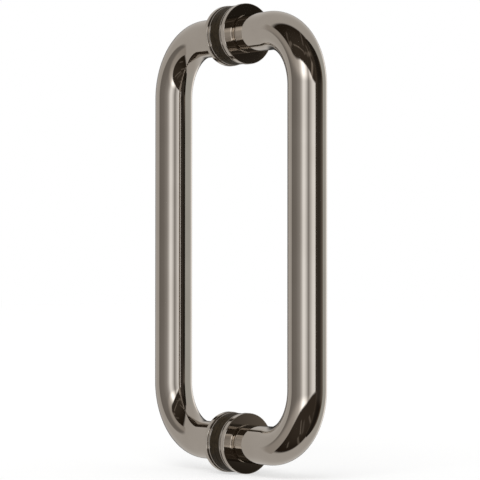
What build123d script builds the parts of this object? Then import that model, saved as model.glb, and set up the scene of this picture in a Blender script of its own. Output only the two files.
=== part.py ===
from build123d import *
import os

# Back-to-back pull handle for a glass door, two D-shaped tubes clamped through the glass.
# X runs through the glass towards the front handle, Z along the bars. The origin is on the
# middle plane, halfway between the two fixings, with no glass fitted.

# Bent tubes
fixing_spacing = 203.2      # centre to centre of the two fixings
tube_diameter = 19.05
tube_wall = 2.2
bend_radius = 28.6          # on the tube's centreline
arm_length = 18.1           # straight part of each arm, from its washer to the bend
tube_edge = 2.0             # radius round the tube's end, outside
tube_land = 0.2             # flat left there, against the washer

# Metal washers
washer_diameter = 30.2
rim_width = 2.6             # rim at full diameter, next to the tube
groove_width = 0.8          # fine groove behind the rim
groove_depth = 0.7
lip_width = 1.1             # lip behind the groove, against the gasket
lip_step = 0.3              # how far the lip lies inside the rim
rim_edge = 0.3              # chamfer on both edges of the rim

# Gaskets
gasket_thickness = 3.8
gasket_step = 0.4           # how far the gasket lies inside the rim
gasket_edge = 0.3           # chamfer on its outer edges

# Studs and sleeves
stud_diameter = 8.0
stud_chamfer = 0.8
lock_groove_depth = 0.6     # turned groove that takes the set screw's point
sleeve_wall = 1.8

# Tube-end inserts
insert_setback = 3.0        # left free between the insert and the start of the bend
insert_floor = 3.0          # solid end behind the stud's hole
insert_chamfer = 0.6

# Set screws
screw_diameter = 5.0
screw_recess = 0.4          # how far the screw lies inside the tube's surface
screw_chamfer = 0.35
point_diameter = 3.0        # plain point that enters the stud's groove
point_length = 1.2
hex_across_flats = 2.5
hex_floor = 3.2             # metal left below the hexagon socket, point included

# Clearances
press_gap = 0.03            # insert in its tube, on the radius
thread_gap = 0.03           # stud and set screw in their threads, on the radius
socket_gap = 0.1            # stud in the rear insert, on the radius
washer_bore_gap = 0.25      # stud in the washers, on the radius
sleeve_gap = 0.1            # sleeve on the stud and in the gaskets, on the radius
sleeve_end_gap = 0.15       # sleeve to each washer
stud_end_gap = 0.6          # stud to the bottom of its hole
point_gap = 0.05            # set screw's point to its groove
screw_hole_gap = 0.2        # set screw in the tube's wall, on the radius

# Worked out from the sizes above
tube_radius = tube_diameter / 2
bore_radius = tube_radius - tube_wall
end_radius = min(tube_edge, tube_wall - tube_land)
washer_radius = washer_diameter / 2
stud_radius = stud_diameter / 2
screw_radius = screw_diameter / 2
washer_thickness = rim_width + groove_width + lip_width
washer_back = gasket_thickness
washer_face = washer_back + washer_thickness
bar_offset = washer_face + arm_length + bend_radius
fixing_height = fixing_spacing / 2
insert_length = arm_length - insert_setback
hole_depth = insert_length - insert_floor
stud_reach = hole_depth - stud_end_gap
sleeve_bore = stud_radius + sleeve_gap
sleeve_radius = sleeve_bore + sleeve_wall
gasket_bore = sleeve_radius + sleeve_gap
screw_place = washer_face + stud_reach / 2
point_height = stud_radius - lock_groove_depth + point_gap
screw_height = tube_radius - screw_recess
screw_length = screw_height - point_height


def turned(*outline):
    # Solid of revolution about X from (x, radius) points
    return revolve(make_face(Polyline(*outline, close=True)), Axis.X)


def bent_tube():
    # One D-shaped handle, open at both ends where it meets its washers
    path = FilletPolyline(
        (washer_face, 0, fixing_height),
        (bar_offset, 0, fixing_height),
        (bar_offset, 0, -fixing_height),
        (washer_face, 0, -fixing_height),
        radius=bend_radius,
    )
    end_plane = Plane(origin=path @ 0, z_dir=path % 0)
    tube = sweep(end_plane * Circle(tube_radius), path=path)
    outer_ends = tube.edges().filter_by(GeomType.CIRCLE).group_by(Axis.X)[0]
    tube = fillet(outer_ends, end_radius)
    return tube - sweep(end_plane * Circle(bore_radius), path=path)


def metal_washer():
    # Turned washer with a rim, a fine groove and a lip
    rim_back = washer_face - rim_width
    lip_front = washer_back + lip_width
    lip_radius = washer_radius - lip_step
    groove_radius = washer_radius - groove_depth
    edge_radius = washer_radius - rim_edge
    bore = stud_radius + washer_bore_gap
    return turned(
        (washer_back, bore),
        (washer_face, bore),
        (washer_face, edge_radius),
        (washer_face - rim_edge, washer_radius),
        (rim_back + rim_edge, washer_radius),
        (rim_back, edge_radius),
        (rim_back, groove_radius),
        (lip_front, groove_radius),
        (lip_front, lip_radius),
        (washer_back, lip_radius),
    )


def gasket():
    # Flat ring that keeps the metal off the glass
    radius = washer_radius - gasket_step
    return turned(
        (0, gasket_bore),
        (washer_back, gasket_bore),
        (washer_back, radius - gasket_edge),
        (washer_back - gasket_edge, radius),
        (gasket_edge, radius),
        (0, radius - gasket_edge),
    )


def insert(hole_radius):
    # Plug in the end of a tube, with a blind hole for the stud
    radius = bore_radius - press_gap
    inner_end = washer_face + insert_length
    return turned(
        (washer_face, hole_radius),
        (washer_face, radius),
        (inner_end - insert_chamfer, radius),
        (inner_end, radius - insert_chamfer),
        (inner_end, 0),
        (washer_face + hole_depth, 0),
        (washer_face + hole_depth, hole_radius),
    )


def stud():
    # Rod through the glass, with a turned groove for the set screw near its rear end
    end = washer_face + stud_reach
    groove_bottom = stud_radius - lock_groove_depth
    half_groove = point_diameter / 2 + screw_hole_gap
    groove_front = -screw_place + half_groove
    groove_back = -screw_place - half_groove
    return turned(
        (-end, 0),
        (-end, stud_radius - stud_chamfer),
        (-end + stud_chamfer, stud_radius),
        (groove_back - lock_groove_depth, stud_radius),
        (groove_back, groove_bottom),
        (groove_front, groove_bottom),
        (groove_front + lock_groove_depth, stud_radius),
        (end - stud_chamfer, stud_radius),
        (end, stud_radius - stud_chamfer),
        (end, 0),
    )


def sleeve():
    # Bush round the stud, between the two metal washers
    end = washer_back - sleeve_end_gap
    return turned((-end, sleeve_bore), (end, sleeve_bore), (end, sleeve_radius), (-end, sleeve_radius))


def set_screw():
    # Headless screw in the underside of a rear arm, point up
    profile = Polyline(
        (0, -screw_height),
        (screw_radius - screw_chamfer, -screw_height),
        (screw_radius, -screw_height + screw_chamfer),
        (screw_radius, -point_height - point_length),
        (point_diameter / 2, -point_height - point_length),
        (point_diameter / 2, -point_height),
        (0, -point_height),
        close=True,
    )
    screw = revolve(make_face(Plane.XZ * profile), Axis.Z)
    hexagon = RegularPolygon(hex_across_flats / 2, 6, major_radius=False)
    socket = extrude(Pos(0, 0, -screw_height) * hexagon, screw_length - hex_floor)
    return Pos(-screw_place, 0, 0) * (screw - socket)


def screw_hole(radius):
    # Radial hole below the arm, from the stud's axis out through the tube
    hole = Cylinder(radius, tube_radius + tube_wall, align=(Align.CENTER, Align.CENTER, Align.MAX))
    return Pos(-screw_place, 0, 0) * hole


def to_rear(solid):
    return mirror(solid, about=Plane.YZ)


def make_nodes():
    nodes = {}
    heights = {"upper": fixing_height, "lower": -fixing_height}

    rear_tube = to_rear(bent_tube())
    for height in heights.values():
        rear_tube -= Pos(0, 0, height) * screw_hole(screw_radius + screw_hole_gap)
    nodes["front_handle"] = bent_tube()
    nodes["rear_handle"] = rear_tube

    # Everything below is made about the X axis, then set at each fixing
    front_insert = insert(stud_radius + thread_gap)
    rear_insert = to_rear(insert(stud_radius + socket_gap)) - screw_hole(screw_radius + thread_gap)
    fixing_set = {
        "front_washer": metal_washer(),
        "rear_washer": to_rear(metal_washer()),
        "front_gasket": gasket(),
        "rear_gasket": to_rear(gasket()),
        "front_insert": front_insert,
        "rear_insert": rear_insert,
        "stud": stud(),
        "sleeve": sleeve(),
        "set_screw": set_screw(),
    }
    for level, height in heights.items():
        for name, solid in fixing_set.items():
            nodes[f"{level}_{name}"] = Pos(0, 0, height) * solid
    return nodes


os.makedirs("parts", exist_ok=True)
for name, solid in make_nodes().items():
    export_step(solid, f"parts/{name}.step")
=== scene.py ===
import math

import bmesh
import bpy
from mathutils import Matrix, Vector


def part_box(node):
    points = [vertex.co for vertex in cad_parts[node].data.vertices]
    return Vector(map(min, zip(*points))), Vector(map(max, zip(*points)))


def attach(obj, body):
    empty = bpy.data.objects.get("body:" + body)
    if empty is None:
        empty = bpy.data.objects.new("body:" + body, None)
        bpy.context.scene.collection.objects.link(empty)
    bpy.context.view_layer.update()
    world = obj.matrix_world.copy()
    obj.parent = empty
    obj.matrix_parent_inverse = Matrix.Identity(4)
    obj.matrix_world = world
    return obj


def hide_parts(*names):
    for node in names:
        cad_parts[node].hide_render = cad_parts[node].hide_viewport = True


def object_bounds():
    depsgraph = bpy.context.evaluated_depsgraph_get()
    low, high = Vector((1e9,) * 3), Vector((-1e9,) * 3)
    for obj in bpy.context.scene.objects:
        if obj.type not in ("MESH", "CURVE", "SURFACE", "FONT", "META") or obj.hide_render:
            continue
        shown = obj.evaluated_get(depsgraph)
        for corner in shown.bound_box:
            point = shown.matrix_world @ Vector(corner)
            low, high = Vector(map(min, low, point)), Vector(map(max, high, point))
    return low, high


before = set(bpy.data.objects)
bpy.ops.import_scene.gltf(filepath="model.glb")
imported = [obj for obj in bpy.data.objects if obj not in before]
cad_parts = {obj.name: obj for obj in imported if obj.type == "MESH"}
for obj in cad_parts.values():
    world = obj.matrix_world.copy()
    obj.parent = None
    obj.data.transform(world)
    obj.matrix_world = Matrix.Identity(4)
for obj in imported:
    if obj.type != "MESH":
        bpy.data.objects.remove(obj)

cadLow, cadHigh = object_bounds()
print("frame loaded with", len(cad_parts), "nodes")

scene = bpy.context.scene
scene.view_settings.view_transform = "Standard"
levels = ("upper", "lower")
sides = ("front", "rear")
quarterTurn = math.radians(90)
fullTurn = math.radians(360)
sameSpot = 1e-6                # metres, points closer than this count as one
seamGap = 1e-7                 # metres, for closing seams


def fillSockets(tree, node, inputs):
    for key, value in inputs.items():
        if isinstance(value, bpy.types.NodeSocket):
            tree.links.new(value, node.inputs[key])
        else:
            node.inputs[key].default_value = value


def addNode(tree, kind, inputs=None, **settings):
    node = tree.nodes.new(kind)
    for name, value in settings.items():
        setattr(node, name, value)
    fillSockets(tree, node, inputs or {})
    return node


def calc(tree, operation, a, b=0.0):
    return addNode(tree, "ShaderNodeMath", {0: a, 1: b}, operation=operation).outputs[0]


def vectorCalc(tree, operation, inputs):
    return addNode(tree, "ShaderNodeVectorMath", inputs, operation=operation).outputs


def splitPoint(tree, points):
    return addNode(tree, "ShaderNodeSeparateXYZ", {0: points}).outputs


def mapRange(tree, value, fromMin, fromMax, toMin=0.0, toMax=1.0, kind="LINEAR"):
    inputs = {"Value": value, "From Min": fromMin, "From Max": fromMax, "To Min": toMin, "To Max": toMax}
    return addNode(tree, "ShaderNodeMapRange", inputs, interpolation_type=kind).outputs["Result"]


def softStep(tree, value, low, high):
    return mapRange(tree, value, low, high, kind="SMOOTHSTEP")


def mixColor(tree, factor, a, b):
    # sockets 6 and 7 are the two colours, output 2 the mixed one
    return addNode(tree, "ShaderNodeMix", {0: factor, 6: a, 7: b}, data_type="RGBA").outputs[2]


def noise(tree, points, scale, detail, rough=0.5):
    inputs = {"Vector": points, "Scale": scale, "Detail": detail, "Roughness": rough}
    return addNode(tree, "ShaderNodeTexNoise", inputs).outputs["Fac"]


# camera, set by the outline of the handles in the picture
view = {
    "location": (0.91218, -0.69100, -0.01607),
    "aim": (0.00063, 0.00086, -0.00071),
    "roll": 0.036,             # degrees
    "lens": 172.218,           # mm
    "sensorWidth": 36,         # mm
    "clipStart": 0.05,
}


def makeCamera():
    data = bpy.data.cameras.new("picture_camera")
    data.lens = view["lens"]
    data.sensor_width = view["sensorWidth"]
    data.clip_start = view["clipStart"]
    camera = bpy.data.objects.new("picture_camera", data)
    place = Vector(view["location"])
    turn = (Vector(view["aim"]) - place).to_track_quat("-Z", "Y").to_matrix().to_4x4()
    roll = Matrix.Rotation(math.radians(view["roll"]), 4, "Z")
    camera.matrix_world = Matrix.Translation(place) @ turn @ roll
    scene.collection.objects.link(camera)
    scene.camera = camera


makeCamera()
print("camera set")


# finishes
def newMaterial(name):
    material = bpy.data.materials.new(name)
    material.use_nodes = True
    tree = material.node_tree
    return material, tree, tree.nodes["Principled BSDF"]


def newGroup(name, values, outputs):
    tree = bpy.data.node_groups.new(name, "ShaderNodeTree")
    tree.interface.new_socket("Vector", in_out="INPUT", socket_type="NodeSocketVector")
    for socket in values:
        tree.interface.new_socket(socket, in_out="INPUT", socket_type="NodeSocketFloat")
    for socket in outputs:
        tree.interface.new_socket(socket, in_out="OUTPUT", socket_type="NodeSocketFloat")
    given = tree.nodes.new("NodeGroupInput")
    made = tree.nodes.new("NodeGroupOutput")
    return tree, given.outputs, made.inputs


def useGroup(tree, group, inputs):
    return addNode(tree, "ShaderNodeGroup", inputs, node_tree=group).outputs


def objectPoints(tree):
    return addNode(tree, "ShaderNodeTexCoord").outputs["Object"]


def bumpFrom(tree, height, strength, distance):
    inputs = {"Height": height, "Strength": strength, "Distance": distance}
    return addNode(tree, "ShaderNodeBump", inputs).outputs["Normal"]


# soft clouds in the plate and a fine haze left by the buffing wheel
buffing = {
    "cloudDetail": 3.0,
    "hazeDetail": 3.0,
    "hazeRough": 0.6,
    "toneRange": (0.3, 0.7),
    "hazeRange": (0.35, 0.75),
}


def makePolishGroup():
    tree, given, made = newGroup("buffed_plate", ("Cloud Scale", "Haze Scale"), ("Tone", "Haze"))
    points = given["Vector"]
    cloud = noise(tree, points, given["Cloud Scale"], buffing["cloudDetail"])
    fine = noise(tree, points, given["Haze Scale"], buffing["hazeDetail"], buffing["hazeRough"])
    tree.links.new(softStep(tree, cloud, *buffing["toneRange"]), made["Tone"])
    tree.links.new(softStep(tree, fine, *buffing["hazeRange"]), made["Haze"])
    return tree


# fine rings left by the lathe, round the axis of the nearest fixing
turning = {"detail": 2.0, "ringRange": (0.35, 0.7)}


def makeLatheGroup():
    tree, given, made = newGroup("lathe_rings", ("Axis Height", "Pitch"), ("Rings", "Ring Height"))
    x, y, z = splitPoint(tree, given["Vector"])
    up = calc(tree, "SUBTRACT", calc(tree, "ABSOLUTE", z), given["Axis Height"])
    flat = addNode(tree, "ShaderNodeCombineXYZ", {1: y, 2: up}).outputs[0]
    out = vectorCalc(tree, "LENGTH", {0: flat})["Value"]
    turns = calc(tree, "DIVIDE", calc(tree, "ADD", out, x), given["Pitch"])
    inputs = {"W": turns, "Scale": 1.0, "Detail": turning["detail"]}
    line = addNode(tree, "ShaderNodeTexNoise", inputs, noise_dimensions="1D").outputs["Fac"]
    tree.links.new(softStep(tree, line, *turning["ringRange"]), made["Rings"])
    tree.links.new(line, made["Ring Height"])
    return tree


# fine stipple and flow of a moulded skin
moulding = {"flowDetail": 4.0, "stippleDetail": 2.0, "flowRange": (0.3, 0.72)}


def makeMouldGroup():
    tree, given, made = newGroup("moulded_skin", ("Flow Scale", "Stipple Scale"), ("Flow", "Stipple"))
    points = given["Vector"]
    flow = noise(tree, points, given["Flow Scale"], moulding["flowDetail"])
    stipple = noise(tree, points, given["Stipple Scale"], moulding["stippleDetail"])
    tree.links.new(softStep(tree, flow, *moulding["flowRange"]), made["Flow"])
    tree.links.new(stipple, made["Stipple"])
    return tree


buffedPlate = makePolishGroup()
latheRings = makeLatheGroup()
mouldedSkin = makeMouldGroup()

axisHeight = (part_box("upper_stud")[0].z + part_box("upper_stud")[1].z) / 2
fixingHeight = {"upper": axisHeight, "lower": -axisHeight}


def latheMarks(tree, points, pitch):
    return useGroup(tree, latheRings, {"Vector": points, "Axis Height": axisHeight, "Pitch": pitch})


nickel = {
    "bright": (0.61, 0.565, 0.515, 1),
    "dull": (0.575, 0.53, 0.48, 1),
    "cloudScale": 45.0,
    "hazeScale": 900.0,
    "roughness": (0.03, 0.075),
}


def nickelPlate(tree, points):
    inputs = {"Vector": points, "Cloud Scale": nickel["cloudScale"], "Haze Scale": nickel["hazeScale"]}
    return useGroup(tree, buffedPlate, inputs)


def makeTubeNickel():
    material, tree, shader = newMaterial("polished_nickel_tube")
    plate = nickelPlate(tree, objectPoints(tree))
    inputs = {
        "Base Color": mixColor(tree, plate["Tone"], nickel["bright"], nickel["dull"]),
        "Roughness": mapRange(tree, plate["Haze"], 0, 1, *nickel["roughness"]),
        "Metallic": 1,
    }
    fillSockets(tree, shader, inputs)
    return material


washerNickel = {
    "shadedLipBright": (0.445, 0.411, 0.374, 1),  # painted shade: darker plate colours on the lip and in the groove
    "shadedLipDull": (0.410, 0.377, 0.341, 1),
    "unshadedFrom": (0.0055, 0.0058),            # where the painted shade gives way to the rim's own colour, from the middle plane
    "pitch": 0.00022,
    "roughness": (0.03, 0.10),
}


def makeWasherNickel():
    material, tree, shader = newMaterial("polished_nickel_washer")
    points = objectPoints(tree)
    plate = nickelPlate(tree, points)
    lathe = latheMarks(tree, points, washerNickel["pitch"])
    off = calc(tree, "ABSOLUTE", splitPoint(tree, points)[0])
    # painted shade: the lip and groove, nearer the middle plane, take darker colours than the rim
    unshadedRim = softStep(tree, off, *washerNickel["unshadedFrom"])
    lip = mixColor(tree, plate["Tone"], washerNickel["shadedLipBright"], washerNickel["shadedLipDull"])
    rim = mixColor(tree, plate["Tone"], nickel["bright"], nickel["dull"])
    trace = calc(tree, "MULTIPLY", plate["Haze"], lathe["Rings"])
    inputs = {
        "Base Color": mixColor(tree, unshadedRim, lip, rim),
        "Roughness": mapRange(tree, trace, 0, 1, *washerNickel["roughness"]),
        "Metallic": 1,
    }
    fillSockets(tree, shader, inputs)
    return material


rubber = {
    "main": (0.0170, 0.0116, 0.0057, 1),
    "flow": (0.0310, 0.0217, 0.0112, 1),
    "flowScale": 420.0,
    "stippleScale": 5200.0,
    "roughness": (0.36, 0.54),
    "grain": 0.25,
    "grainDepth": 0.00005,
    "plain": {"Specular IOR Level": 0.07},
}
nylon = {
    "main": (0.80, 0.79, 0.75, 1),
    "flow": (0.72, 0.71, 0.67, 1),
    "flowScale": 250.0,
    "stippleScale": 3000.0,
    "roughness": (0.38, 0.52),
    "grain": 0.15,
    "grainDepth": 0.00004,
    "plain": {"Subsurface Weight": 0.1, "Subsurface Radius": (0.002, 0.002, 0.002)},
}


def makeMoulded(name, finish):
    material, tree, shader = newMaterial(name)
    inputs = {
        "Vector": objectPoints(tree),
        "Flow Scale": finish["flowScale"],
        "Stipple Scale": finish["stippleScale"],
    }
    skin = useGroup(tree, mouldedSkin, inputs)
    inputs = {
        "Base Color": mixColor(tree, skin["Flow"], finish["main"], finish["flow"]),
        "Roughness": mapRange(tree, skin["Flow"], 0, 1, *finish["roughness"]),
        "Normal": bumpFrom(tree, skin["Stipple"], finish["grain"], finish["grainDepth"]),
    }
    fillSockets(tree, shader, inputs)
    fillSockets(tree, shader, finish["plain"])  # the same all over
    return material


brass = {
    "bright": (0.74, 0.56, 0.29, 1),
    "dull": (0.55, 0.38, 0.17, 1),          # tarnish
    "cloudScale": 160.0,
    "pitch": 0.0003,
    "roughness": (0.16, 0.34),
    "ringBump": 0.3,
    "ringDepth": 0.00003,
}
steel = {
    "bright": (0.60, 0.60, 0.585, 1),
    "dull": (0.42, 0.42, 0.42, 1),          # oiled
    "cloudScale": 160.0,
    "pitch": 0.0002,
    "roughness": (0.20, 0.40),
    "ringBump": 0.3,
    "ringDepth": 0.00003,
}


def makeTurnedMetal(name, finish):
    material, tree, shader = newMaterial(name)
    points = objectPoints(tree)
    plate = useGroup(tree, buffedPlate, {"Vector": points, "Cloud Scale": finish["cloudScale"]})
    lathe = latheMarks(tree, points, finish["pitch"])
    inputs = {
        "Base Color": mixColor(tree, plate["Tone"], finish["bright"], finish["dull"]),
        "Roughness": mapRange(tree, lathe["Rings"], 0, 1, *finish["roughness"]),
        "Normal": bumpFrom(tree, lathe["Ring Height"], finish["ringBump"], finish["ringDepth"]),
        "Metallic": 1,
    }
    fillSockets(tree, shader, inputs)
    return material


tubePlate = makeTubeNickel()
washerPlate = makeWasherNickel()
gasketRubber = makeMoulded("black_gasket_rubber", rubber)
insertBrass = makeTurnedMetal("turned_insert_brass", brass)
studSteel = makeTurnedMetal("turned_stud_steel", steel)
sleeveNylon = makeMoulded("white_sleeve_nylon", nylon)
print("finishes made")


# pieces
shading = {
    "sharpAngle": 38,          # degrees, edges sharper than this stay sharp
    "threadAngle": 30,
    "flatWeight": 100,
}


def closeUp(bm):
    bmesh.ops.remove_doubles(bm, verts=bm.verts, dist=seamGap)
    bmesh.ops.recalc_face_normals(bm, faces=bm.faces)


def addPiece(bm, name, material, node, sharpAngle):
    mesh = bpy.data.meshes.new(name)
    bm.to_mesh(mesh)
    bm.free()
    mesh.shade_smooth()
    mesh.set_sharp_from_angle(angle=math.radians(sharpAngle))
    mesh.materials.append(material)
    piece = bpy.data.objects.new(name, mesh)
    scene.collection.objects.link(piece)
    # flats and straight runs stay true mirrors
    flats = piece.modifiers.new("true_flats", "WEIGHTED_NORMAL")
    flats.mode = "FACE_AREA"
    flats.weight = shading["flatWeight"]
    flats.keep_sharp = True
    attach(piece, "root")
    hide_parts(node)
    print(name, "made,", len(mesh.polygons), "faces")


def roundOff(bm, edges, offset, segments):
    bmesh.ops.bevel(
        bm,
        geom=edges,
        offset=offset,
        segments=segments,
        profile=0.5,
        affect="EDGES",
        material=-1,
        offset_type="OFFSET",
        clamp_overlap=True,
    )


def flipToRear(bm):
    bmesh.ops.scale(bm, vec=(-1, 1, 1), verts=bm.verts)


# bent tubes
handleTube = {
    "ringPoints": 96,
    "bendRadius": 0.0286,
    "bendSteps": 48,
    "barSteps": 14,
    "wall": 0.0022,
    "endRing": 0.0026,         # plain ring at each end, wide enough for its rounding
    "endRound": 0.0020,
    "endRoundSteps": 10,
    "screwPlace": 0.01405,     # from the middle plane, along the arm
    "stepsToScrew": 6,
    "stepsPastScrew": 20,
    "screwHole": 0.0027,
    "holeReach": 0.0032,       # half the patch of faces that the hole takes out
    "holeDrop": 1.1,           # how far below the arm's axis to look for that patch, in tube radii
}


def sweepOn(bm, ring, steps, move=None, turn=0.0, centre=(0, 0, 0)):
    settings = {"cent": centre, "axis": (0, 1, 0), "angle": turn, "steps": steps}
    if move is not None:
        settings["dvec"] = Vector(move) / steps
    return bmesh.ops.spin(bm, geom=ring, **settings)["geom_last"]


def growTube(low, high):
    size = handleTube
    radius = high.y
    armHeight = high.z - radius
    bendX = high.x - radius - size["bendRadius"]
    bendZ = armHeight - size["bendRadius"]
    toScrew = size["screwPlace"] - low.x - size["endRing"]
    pastScrew = bendX - size["screwPlace"]
    bm = bmesh.new()
    start = Matrix.Translation((low.x, 0, armHeight)) @ Matrix.Rotation(quarterTurn, 4, "Y")
    bmesh.ops.create_circle(bm, segments=size["ringPoints"], radius=radius, matrix=start)
    ring = bm.verts[:] + bm.edges[:]
    ring = sweepOn(bm, ring, 1, move=(size["endRing"], 0, 0))
    ring = sweepOn(bm, ring, size["stepsToScrew"], move=(toScrew, 0, 0))
    ring = sweepOn(bm, ring, size["stepsPastScrew"], move=(pastScrew, 0, 0))
    ring = sweepOn(bm, ring, size["bendSteps"], turn=quarterTurn, centre=(bendX, 0, bendZ))
    ring = sweepOn(bm, ring, size["barSteps"], move=(0, 0, -2 * bendZ))
    ring = sweepOn(bm, ring, size["bendSteps"], turn=quarterTurn, centre=(bendX, 0, -bendZ))
    ring = sweepOn(bm, ring, size["stepsPastScrew"], move=(-pastScrew, 0, 0))
    ring = sweepOn(bm, ring, size["stepsToScrew"], move=(-toScrew, 0, 0))
    sweepOn(bm, ring, 1, move=(-size["endRing"], 0, 0))
    return bm


# hole under a rear arm: a patch of faces gives way to a round rim on the tube's surface
def openHole(bm, armHeight, radius):
    size = handleTube
    middle = Vector((-size["screwPlace"], 0, armHeight))
    reach = size["holeReach"]
    lowest = -radius * size["holeDrop"]

    def near(point):
        off = point - middle
        return abs(off.x) < reach and abs(off.y) < reach and lowest < off.z < 0

    patch = [f for f in bm.faces if near(f.calc_center_median())]
    bmesh.ops.delete(bm, geom=patch, context="FACES")
    rim = [e for e in bm.edges if e.is_boundary and near((e.verts[0].co + e.verts[1].co) / 2)]
    place = Matrix.Translation(middle)
    made = bmesh.ops.create_circle(bm, segments=len(rim), radius=size["screwHole"], matrix=place)
    for vert in made["verts"]:
        vert.co.z -= math.sqrt(radius ** 2 - vert.co.y ** 2)
    hole = {e for v in made["verts"] for e in v.link_edges}
    bmesh.ops.bridge_loops(bm, edges=rim + list(hole))


def makeTube(side):
    size = handleTube
    low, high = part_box("front_handle")
    radius = high.y
    armHeight = high.z - radius
    bm = growTube(low, high)
    if side == "rear":
        flipToRear(bm)
        for height in (armHeight, -armHeight):
            openHole(bm, height, radius)
    closeUp(bm)
    bmesh.ops.solidify(bm, geom=bm.faces[:], thickness=size["wall"])

    def onOuterEnd(point):
        outside = math.hypot(point.y, abs(point.z) - armHeight) > radius - sameSpot
        return outside and abs(abs(point.x) - low.x) < sameSpot

    ends = [e for e in bm.edges if all(onOuterEnd(v.co) for v in e.verts)]
    roundOff(bm, ends, size["endRound"], size["endRoundSteps"])
    name = side + "_handle_tube"
    addPiece(bm, name, tubePlate, side + "_handle", shading["sharpAngle"])


for side in sides:
    makeTube(side)


# turned and moulded rings
cornerAngle = 0.6              # radians, edges that turn more than this get rounded


def turnRing(outline, steps):
    bm = bmesh.new()
    verts = [bm.verts.new((x, 0, radius)) for x, radius in outline]
    for a, b in zip(verts, verts[1:] + verts[:1]):
        bm.edges.new((a, b))
    profile = bm.verts[:] + bm.edges[:]
    settings = {"cent": (0, 0, 0), "axis": (1, 0, 0), "angle": fullTurn, "steps": steps}
    bmesh.ops.spin(bm, geom=profile, use_merge=True, **settings)
    closeUp(bm)
    return bm


def cornersAt(bm, radius):
    corners = [e for e in bm.edges if e.calc_face_angle(0) > cornerAngle]
    return [e for e in corners if all(abs(v.co.yz.length - radius) < sameSpot for v in e.verts)]


def placeRing(bm, level, side):
    if side == "rear":
        flipToRear(bm)
    bmesh.ops.translate(bm, vec=(0, 0, fixingHeight[level]), verts=bm.verts)
    closeUp(bm)


washer = {
    "steps": 128,
    "rimWidth": 0.0026,
    "grooveWidth": 0.0008,
    "grooveDepth": 0.0007,
    "lipStep": 0.0003,
    "bore": 0.00425,
    "rimRound": 0.0003,
    "lipRound": 0.0003,
    "roundSteps": 3,
}


def makeWasher(level, side):
    size = washer
    low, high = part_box("upper_front_washer")
    radius = high.y
    rimBack = high.x - size["rimWidth"]
    lipFront = rimBack - size["grooveWidth"]
    lipRadius = radius - size["lipStep"]
    grooveRadius = radius - size["grooveDepth"]
    outline = [
        (low.x, size["bore"]),
        (high.x, size["bore"]),
        (high.x, radius),
        (rimBack, radius),
        (rimBack, grooveRadius),
        (lipFront, grooveRadius),
        (lipFront, lipRadius),
        (low.x, lipRadius),
    ]
    bm = turnRing(outline, size["steps"])
    roundOff(bm, cornersAt(bm, radius), size["rimRound"], size["roundSteps"])
    roundOff(bm, cornersAt(bm, lipRadius), size["lipRound"], size["roundSteps"])
    placeRing(bm, level, side)
    node = level + "_" + side + "_washer"
    addPiece(bm, node + "_plated", washerPlate, node, shading["sharpAngle"])


gasket = {"steps": 128, "bore": 0.006, "round": 0.0003, "roundSteps": 3}


def makeGasket(level, side):
    size = gasket
    low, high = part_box("upper_front_gasket")
    radius = high.y
    outline = [(low.x, size["bore"]), (high.x, size["bore"]), (high.x, radius), (low.x, radius)]
    bm = turnRing(outline, size["steps"])
    roundOff(bm, cornersAt(bm, radius), size["round"], size["roundSteps"])
    placeRing(bm, level, side)
    node = level + "_" + side + "_gasket"
    addPiece(bm, node + "_moulded", gasketRubber, node, shading["sharpAngle"])


for level in levels:
    for side in sides:
        makeWasher(level, side)
        makeGasket(level, side)


# threaded fixings, made along X about its axis
threadForm = {"rootEnd": 0.25, "crestStart": 0.56, "crestEnd": 0.69}  # shares of the pitch


def loopAt(bm, x):
    return [e for e in bm.edges if e.is_boundary and abs(e.verts[0].co.x - x) < sameSpot]


def cutThread(bm, size, start, end, crest):
    pitch = size["pitch"]
    root = crest - size["threadDepth"]
    turns = math.ceil((end - start) / pitch) + 2  # one more past each end
    outline = []
    for turn in range(turns):
        x = start + (turn - 1) * pitch
        outline.append((x, root))
        outline.append((x + pitch * threadForm["rootEnd"], root))
        outline.append((x + pitch * threadForm["crestStart"], crest))
        outline.append((x + pitch * threadForm["crestEnd"], crest))
    verts = [bm.verts.new((x, 0, radius)) for x, radius in outline]
    edges = [bm.edges.new(pair) for pair in zip(verts, verts[1:])]
    settings = {"cent": (0, 0, 0), "axis": (1, 0, 0), "angle": fullTurn, "steps": size["steps"]}
    bmesh.ops.spin(bm, geom=verts + edges, dvec=(pitch / size["steps"], 0, 0), **settings)
    bmesh.ops.remove_doubles(bm, verts=bm.verts, dist=sameSpot)
    for place, side in ((start, -1), (end, 1)):  # both ends cut square
        cut = {"plane_co": (place, 0, 0), "plane_no": (side, 0, 0), "clear_outer": True}
        bmesh.ops.bisect_plane(bm, geom=bm.verts[:] + bm.edges[:] + bm.faces[:], dist=seamGap, **cut)
    return loopAt(bm, start), loopAt(bm, end)


def ringOn(bm, loop, x, radius, flats=0):
    made = bmesh.ops.extrude_edge_only(bm, edges=loop)["geom"]
    verts = {v for v in made if isinstance(v, bmesh.types.BMVert)}
    for vert in verts:
        angle = math.atan2(vert.co.z, vert.co.y)
        reach = radius
        if flats:  # across the flats instead of round
            step = fullTurn / flats
            reach = radius / math.cos((angle + step / 2) % step - step / 2)
        vert.co = (x, math.cos(angle) * reach, math.sin(angle) * reach)
    edges = [e for e in made if isinstance(e, bmesh.types.BMEdge)]
    return [e for e in edges if verts.issuperset(e.verts)]


stud = {
    "steps": 48,
    "pitch": 0.00125,
    "threadDepth": 0.00068,
    "threadStart": 0.0070,     # from the middle plane, towards the front
    "tip": 0.0008,             # chamfer at both ends
    "runOut": 0.0009,
    "groove": 0.0017,          # half width of the set screw's groove
    "grooveDepth": 0.0006,
}


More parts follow.
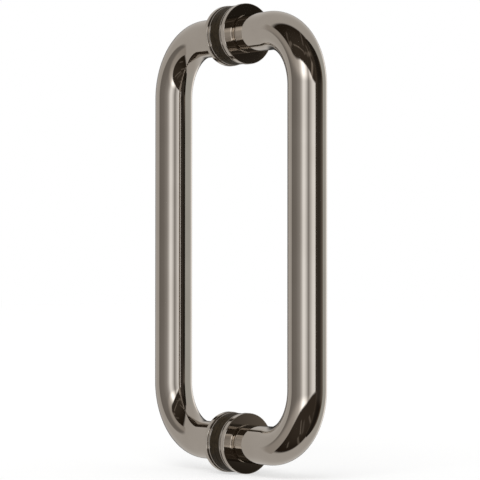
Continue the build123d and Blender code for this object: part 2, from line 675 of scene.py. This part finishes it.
def makeStud(level):
    size = stud
    low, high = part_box(level + "_stud")
    radius = high.y
    bottom = radius - size["grooveDepth"]
    grooveFront = size["groove"] - handleTube["screwPlace"]
    grooveBack = -size["groove"] - handleTube["screwPlace"]
    bm = bmesh.new()
    inner, outer = cutThread(bm, size, size["threadStart"], high.x - size["tip"], radius)
    outer = ringOn(bm, outer, high.x, radius - size["tip"])
    bmesh.ops.edgeloop_fill(bm, edges=outer)
    shank = [
        (size["threadStart"] - size["runOut"], radius),
        (grooveFront + size["grooveDepth"], radius),
        (grooveFront, bottom),
        (grooveBack, bottom),
        (grooveBack - size["grooveDepth"], radius),
        (low.x + size["tip"], radius),
        (low.x, radius - size["tip"]),
    ]
    for x, reach in shank:
        inner = ringOn(bm, inner, x, reach)
    bmesh.ops.edgeloop_fill(bm, edges=inner)
    bmesh.ops.translate(bm, vec=(0, 0, (low.z + high.z) / 2), verts=bm.verts)
    closeUp(bm)
    name = level + "_stud_threaded"
    addPiece(bm, name, studSteel, level + "_stud", shading["threadAngle"])


setScrew = {
    "steps": 48,
    "pitch": 0.0008,
    "threadDepth": 0.00044,
    "tip": 0.00035,
    "point": 0.0015,           # radius of the plain point
    "pointLength": 0.0012,
    "socketSides": 6,
    "acrossFlats": 0.0025,
    "socketFloor": 0.0032,     # metal left below the socket, point included
}


def makeSetScrew(level):
    size = setScrew
    low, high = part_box(level + "_set_screw")
    radius = high.y
    length = high.z - low.z
    neck = length - size["pointLength"]
    bm = bmesh.new()
    outer, inner = cutThread(bm, size, size["tip"], neck - size["tip"], radius)
    outer = ringOn(bm, outer, 0, radius - size["tip"])
    for depth in (0, length - size["socketFloor"]):
        outer = ringOn(bm, outer, depth, size["acrossFlats"] / 2, size["socketSides"])
    bmesh.ops.edgeloop_fill(bm, edges=outer)
    for x, reach in ((neck, radius - size["tip"]), (neck, size["point"]), (length, size["point"])):
        inner = ringOn(bm, inner, x, reach)
    bmesh.ops.edgeloop_fill(bm, edges=inner)
    foot = Matrix.Translation(((low.x + high.x) / 2, 0, low.z))
    bmesh.ops.transform(bm, matrix=foot @ Matrix.Rotation(-quarterTurn, 4, "Y"), verts=bm.verts)
    closeUp(bm)
    name = level + "_set_screw_threaded"
    addPiece(bm, name, studSteel, level + "_set_screw", shading["threadAngle"])


for level in levels:
    makeStud(level)
    makeSetScrew(level)

# inserts and sleeves stay as the CAD gives them
innerFinish = {"front_insert": insertBrass, "rear_insert": insertBrass, "sleeve": sleeveNylon}
for level in levels:
    for name, material in innerFinish.items():
        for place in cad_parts[level + "_" + name].material_slots:
            place.material = material
print("inner fixings finished")


# studio
studio = {
    "front": -37.145,           # bearing of the camera's side, degrees from +X
    "ambient": (0.80, 0.80, 0.80, 1),
    "white": (1, 1, 1, 1),
    "backEdge": (0.505, 0.483, 0.458, 1),
    "backRight": (0.490, 0.4975, 0.470, 1),  # a little greener on the right
    "rightFrom": (0.5, 0.9),
    "backMiddle": (0.62, 0.60, 0.575, 1),
    "middleFrom": (0.45, 1.0),
    "backFrom": (-0.09, 0.01),  # soft edge between the room and the card
    "backSkew": 0.174,          # the card comes further round on the right
    "roomSide": (0.020, 0.014, 0.009, 1),
    "roomAhead": (0.046, 0.036, 0.027, 1),
    "aheadFrom": (-0.05, 0.6),
    "gear": (1, 0.88, 0.76),
    "bandReach": (0.46, 0.14),  # the bands behind fade out between these heights
    "bandFrom": (0.70, 0.77),
    "bandCool": 0.92,
}
# bearing and level of a soft light and a dark flag low down behind, mirrored only on the far sides
backBands = [
    (-180, 0.05),
    (-160, 0.05),
    (-154, 0.44),
    (-148, 0.50),
    (138, 0.50),
    (144, 1.15),
    (158, 1.25),
    (164, 0.50),
    (168, 0.05),
    (180, 0.05),
]
# faint gear in the dark room: bearing and height of both ends, half width, level
gear = [
    (-52, 39, -28, 46, 1.0, 0.14),
    (-28, 46, -2, 46, 1.0, 0.14),
    (0, 43, 12, 46, 1.6, 0.08),
    (20, 44, 46, 45, 3.0, 0.09),
    (31, 56, 37, 32, 2.0, 0.08),
    (-74, 23, -62, 36, 2.0, 0.11),
    (-72, 30, -71, 46, 1.5, 0.07),
    (26, 14, 38, 30, 4.0, 0.20),
    (60, 78, 9, 58, 1.6, 0.09),
    (-19, -38, -4, -60, 1.4, 0.14),
    (0, -44, 12, -60, 3.0, 0.05),
    (28, -38, 63, -47, 2.0, 0.09),
    (52, -33, 81, -40, 2.0, 0.06),
    (-64, -53, -70, -62, 1.5, 0.10),
    (-12, -66, 70, -79, 2.0, 0.09),
]
gearSoft = {"core": 0.3, "edge": 1.7, "end": 2}  # in half widths


def frontFrame(tree, points):
    inputs = {"Vector": points, "Angle": math.radians(-studio["front"])}
    turned = addNode(tree, "ShaderNodeVectorRotate", inputs, rotation_type="Z_AXIS").outputs[0]
    ahead, across, rise = splitPoint(tree, turned)
    bearing = calc(tree, "DEGREES", calc(tree, "ARCTAN2", across, ahead))
    return turned, ahead, across, rise, bearing


def rampOver(tree, value, stops):
    node = addNode(tree, "ShaderNodeValToRGB", {"Fac": value})
    marks = node.color_ramp.elements
    while len(marks) < len(stops):
        marks.new(0.5)  # set right below
    for mark, (place, color) in zip(marks, stops):
        mark.position = place
        mark.color = color
    return node.outputs["Color"]


def overBearing(tree, bearing, stops):
    share = mapRange(tree, bearing, -180.0, 180.0)
    return rampOver(tree, share, [((place + 180) / 360, color) for place, color in stops])


def warm(level, cool):
    return (level, level * (1 + cool) / 2, level * cool, 1)


def warmStops(stops, cool):
    return [(place, warm(level, cool)) for place, level in stops]


def towards(bearing, height):
    turn, tilt = math.radians(bearing), math.radians(height)
    return Vector((math.cos(tilt) * math.cos(turn), math.cos(tilt) * math.sin(turn), math.sin(tilt)))


def dotWith(tree, direction, fixed):
    return vectorCalc(tree, "DOT_PRODUCT", {0: direction, 1: fixed})["Value"]


def gearGlow(tree, direction, stroke):
    fromBearing, fromHeight, toBearing, toHeight, width, level = stroke
    a = towards(fromBearing, fromHeight)
    b = towards(toBearing, toHeight)
    half = a.angle(b) / 2
    soft = math.radians(width)
    core, edge = soft * gearSoft["core"], soft * gearSoft["edge"]
    off = calc(tree, "ABSOLUTE", dotWith(tree, direction, a.cross(b).normalized()))
    onLine = mapRange(tree, off, core, edge, level, 0.0, "SMOOTHSTEP")
    along = dotWith(tree, direction, (a + b).normalized())
    within = softStep(tree, along, math.cos(half + soft * gearSoft["end"]), math.cos(half))
    return calc(tree, "MULTIPLY", onLine, within)


def makeWorld():
    world = bpy.data.worlds.new("studio")
    world.use_nodes = True
    scene.world = world
    tree = world.node_tree
    ray = addNode(tree, "ShaderNodeTexCoord").outputs["Generated"]
    direction, ahead, across, rise, bearing = frontFrame(tree, ray)
    # dark room in front, with faint gear in it
    isAhead = softStep(tree, ahead, *studio["aheadFrom"])
    room = mixColor(tree, isAhead, studio["roomSide"], studio["roomAhead"])
    glow = 0.0
    for stroke in gear:
        glow = calc(tree, "ADD", gearGlow(tree, direction, stroke), glow)
    shine = vectorCalc(tree, "SCALE", {0: studio["gear"], "Scale": glow})[0]
    front = vectorCalc(tree, "ADD", {0: room, 1: shine})[0]
    # pale card behind, brighter in its middle, with two bands low down
    away = calc(tree, "MULTIPLY", ahead, -1.0)
    onRight = softStep(tree, across, *studio["rightFrom"])
    edge = mixColor(tree, onRight, studio["backEdge"], studio["backRight"])
    card = mixColor(tree, softStep(tree, away, *studio["middleFrom"]), edge, studio["backMiddle"])
    bands = overBearing(tree, bearing, warmStops(backBands, studio["bandCool"]))
    isLow = softStep(tree, calc(tree, "ABSOLUTE", rise), *studio["bandReach"])
    inBands = calc(tree, "MULTIPLY", isLow, softStep(tree, away, *studio["bandFrom"]))
    card = mixColor(tree, inBands, card, bands)
    skewed = calc(tree, "ADD", away, calc(tree, "MULTIPLY", across, studio["backSkew"]))
    around = mixColor(tree, softStep(tree, skewed, *studio["backFrom"]), front, card)
    # metal shows the studio, matt surfaces get plain light, and the camera sees white
    path = addNode(tree, "ShaderNodeLightPath").outputs
    lit = mixColor(tree, path["Is Glossy Ray"], studio["ambient"], around)
    seen = calc(tree, "MAXIMUM", path["Is Camera Ray"], path["Is Transmission Ray"])
    color = mixColor(tree, seen, lit, studio["white"])
    tree.links.new(color, tree.nodes["Background"].inputs["Color"])


makeWorld()


def addStage(bm, name, material):
    mesh = bpy.data.meshes.new(name)
    bm.to_mesh(mesh)
    bm.free()
    mesh.materials.append(material)
    thing = bpy.data.objects.new(name, mesh)
    scene.collection.objects.link(thing)
    return thing


floorSheet = {"size": 5.0, "divisions": 2, "color": (0.97, 0.97, 0.965, 1), "roughness": 0.9, "lift": 0.6}


def makeFloor():
    material, tree, shader = newMaterial("pale_floor")
    fillSockets(tree, shader, {"Base Color": floorSheet["color"], "Roughness": floorSheet["roughness"]})
    path = addNode(tree, "ShaderNodeLightPath").outputs
    white = addNode(tree, "ShaderNodeEmission", {"Color": studio["white"], "Strength": 1.0}).outputs[0]
    lift = calc(tree, "MULTIPLY", path["Is Camera Ray"], floorSheet["lift"])
    pale = addNode(tree, "ShaderNodeMixShader", {0: lift, 1: shader.outputs[0], 2: white}).outputs[0]
    clear = addNode(tree, "ShaderNodeBsdfTransparent").outputs[0]
    mirrored = calc(tree, "MAXIMUM", path["Is Glossy Ray"], path["Is Transmission Ray"])
    final = addNode(tree, "ShaderNodeMixShader", {0: mirrored, 1: pale, 2: clear}).outputs[0]
    tree.links.new(final, tree.nodes["Material Output"].inputs["Surface"])
    bm = bmesh.new()
    divisions = floorSheet["divisions"]
    bmesh.ops.create_grid(bm, x_segments=divisions, y_segments=divisions, size=floorSheet["size"])
    bmesh.ops.translate(bm, vec=(0, 0, cadLow.z), verts=bm.verts)
    addStage(bm, "floor", material)


# the lit wall, the dark card and the flag are seen only in the metal
def glowWhere(tree, shown, color, strength=1.0):
    glow = addNode(tree, "ShaderNodeEmission", {"Color": color, "Strength": strength}).outputs[0]
    clear = addNode(tree, "ShaderNodeBsdfTransparent").outputs[0]
    final = addNode(tree, "ShaderNodeMixShader", {0: shown, 1: clear, 2: glow}).outputs[0]
    tree.links.new(final, tree.nodes["Material Output"].inputs["Surface"])


def onlyInMetal(thing, material):
    material.cycles.emission_sampling = "NONE"
    thing.visible_camera = False
    thing.visible_diffuse = False
    thing.visible_shadow = False
    thing.visible_transmission = False


# lit wall round the front
lightWall = {
    "radius": 1.15,
    "span": (-104.0, 47.0),    # bearings, degrees
    "steps": 75,
    "reach": (-1.3, 0.9),      # lowest and highest
    "soft": 0.045,
    "fade": (-104.0, -100.0),  # soft left end
    "lift": 0.85,              # brighter away from eye level
    "liftFrom": (0.20, 0.42),
}
# bearing in degrees (right is plus), level and coolness
wallGlow = [
    (-110, 0.19, 0.84),
    (-66, 0.24, 0.86),
    (-44, 0.35, 0.90),
    (-33, 0.60, 0.95),
    (-25, 1.02, 1.0),
    (-18, 1.20, 1.0),
    (-10, 1.00, 1.0),
    (-1, 0.66, 0.97),
    (7, 0.28, 0.90),
    (15, 0.55, 0.95),
    (32, 1.08, 1.0),
    (47, 1.08, 1.0),
]
# bearing and height of its edges
wallTop = [
    (-100, 0.72),
    (-90, 0.70),
    (-65, 0.535),
    (-50, 0.58),
    (-30, 0.70),
    (-15, 0.70),
    (0, 0.64),
    (15, 0.52),
    (30, 0.28),
    (45, 0.18),
]
wallBottom = [
    (-100, -1.15),
    (-60, -0.70),
    (-30, -0.545),
    (0, -0.445),
    (15, -0.33),
    (30, -0.23),
    (45, -0.16),
]


def heightOver(tree, bearing, stops):
    low, high = lightWall["reach"]
    shares = [(place, (height - low) / (high - low)) for place, height in stops]
    share = overBearing(tree, bearing, [(place, (level, level, level, 1)) for place, level in shares])
    return mapRange(tree, share, 0.0, 1.0, low, high)


def makeLightWall():
    size = lightWall
    material, tree, _ = newMaterial("light_wall")
    _, _, _, rise, bearing = frontFrame(tree, objectPoints(tree))
    peak = max(level for _, level, _ in wallGlow)
    stops = [(place, warm(level / peak, cool)) for place, level, cool in wallGlow]
    color = overBearing(tree, bearing, stops)
    lift = softStep(tree, calc(tree, "ABSOLUTE", rise), *size["liftFrom"])
    strength = mapRange(tree, lift, 0.0, 1.0, peak, peak * (1 + size["lift"]))
    soft = size["soft"]
    underTop = calc(tree, "SUBTRACT", heightOver(tree, bearing, wallTop), rise)
    overBottom = calc(tree, "SUBTRACT", rise, heightOver(tree, bearing, wallBottom))
    underTop = softStep(tree, underTop, -soft, soft)
    overBottom = softStep(tree, overBottom, -soft, soft)
    shown = calc(tree, "MULTIPLY", underTop, overBottom)
    shown = calc(tree, "MULTIPLY", shown, softStep(tree, bearing, *size["fade"]))
    glowWhere(tree, shown, color, strength)
    bm = bmesh.new()
    start, end = (math.radians(studio["front"] + bearing) for bearing in size["span"])
    foot = Vector((math.cos(start), math.sin(start), 0)) * size["radius"]
    posts = [bm.verts.new((foot.x, foot.y, z)) for z in size["reach"]]
    post = bm.edges.new(posts)
    settings = {"cent": (0, 0, 0), "axis": (0, 0, 1), "angle": end - start, "steps": size["steps"]}
    bmesh.ops.spin(bm, geom=posts + [post], **settings)
    onlyInMetal(addStage(bm, "light_wall", material), material)


def cardLine(size):
    near = Vector((*size["near"], 0))
    return near, Vector((*size["far"], 0)) - near


def standCard(name, size, material):
    near, run = cardLine(size)
    bm = bmesh.new()
    bmesh.ops.create_grid(bm, x_segments=1, y_segments=1, size=0.5)  # a square of one metre
    stand = Matrix.Rotation(quarterTurn, 4, "X")
    turn = Matrix.Rotation(math.atan2(run.y, run.x), 4, "Z")
    stretch = Matrix.Diagonal((run.length, 1, size["halfHeight"] * 2, 1))
    place = Matrix.Translation(near + run / 2) @ turn @ stretch @ stand
    bmesh.ops.transform(bm, matrix=place, verts=bm.verts)
    onlyInMetal(addStage(bm, name, material), material)


# dark card close by on the right
darkCard = {
    "near": (0.225, 0.039),
    "far": (0.128, 0.143),
    "halfHeight": 0.40,
    # heights between which its far edge leans in, and the shares left there
    "upperSlope": (0.14, 0.40, 1.0, 0.55),
    "lowerSlope": (-0.20, -0.40, 1.0, 0.62),
    "edgeSoft": 0.03,
    # heights over which its ends give way to its middle
    "upperTone": (0.118, 0.05),
    "lowerTone": (-0.140, -0.098),
    "middleCool": 0.70,
    "endsCool": 0.60,
}
# share along the card and level, at half height and towards its ends
cardMiddle = [
    (0.0, 0.080),
    (0.18, 0.050),
    (0.36, 0.040),
    (0.50, 0.045),
    (0.64, 0.075),
    (0.80, 0.14),
    (1.0, 0.21),
]
cardEnds = [
    (0.0, 0.075),
    (0.16, 0.040),
    (0.32, 0.019),
    (0.76, 0.018),
    (0.90, 0.14),
    (1.0, 0.20),
]


def makeDarkCard():
    size = darkCard
    material, tree, _ = newMaterial("dark_card")
    near, run = cardLine(size)
    points = objectPoints(tree)
    off = vectorCalc(tree, "SUBTRACT", {0: points, 1: near})[0]
    along = dotWith(tree, off, run / run.length_squared)
    rise = splitPoint(tree, points)[2]
    middle = rampOver(tree, along, warmStops(cardMiddle, size["middleCool"]))
    ends = rampOver(tree, along, warmStops(cardEnds, size["endsCool"]))
    underUpper = softStep(tree, rise, *size["upperTone"])
    overLower = softStep(tree, rise, *size["lowerTone"])
    color = mixColor(tree, calc(tree, "MULTIPLY", underUpper, overLower), ends, middle)
    upperEdge = mapRange(tree, rise, *size["upperSlope"])
    lowerEdge = mapRange(tree, rise, *size["lowerSlope"])
    farEdge = calc(tree, "MINIMUM", upperEdge, lowerEdge)
    shown = softStep(tree, calc(tree, "SUBTRACT", farEdge, along), 0.0, size["edgeSoft"])
    glowWhere(tree, shown, color)
    standCard("dark_card", size, material)


# narrow flag that darkens the inner side of the rear bar
flag = {
    "near": (0.0347, 0.0409),
    "far": (0.0224, 0.0590),
    "halfHeight": 0.085,
    "fade": (0.085, 0.060),
    "color": (0.016, 0.013, 0.009, 1),
}


def makeFlag():
    material, tree, _ = newMaterial("flag")
    rise = splitPoint(tree, objectPoints(tree))[2]
    shown = softStep(tree, calc(tree, "ABSOLUTE", rise), *flag["fade"])
    glowWhere(tree, shown, flag["color"])
    standCard("flag", flag, material)


keyLamp = {"energy": 1.2, "angle": 35, "from": (0.5, -0.7, 1.2)}


def makeLamp():
    data = bpy.data.lights.new("soft_key", "SUN")
    data.energy = keyLamp["energy"]
    data.angle = math.radians(keyLamp["angle"])
    lamp = bpy.data.objects.new("soft_key", data)
    lamp.matrix_world = Vector(keyLamp["from"]).to_track_quat("Z", "Y").to_matrix().to_4x4()
    lamp.visible_glossy = False
    scene.collection.objects.link(lamp)


makeFloor()
makeLightWall()
makeDarkCard()
makeFlag()
makeLamp()
print("studio set")
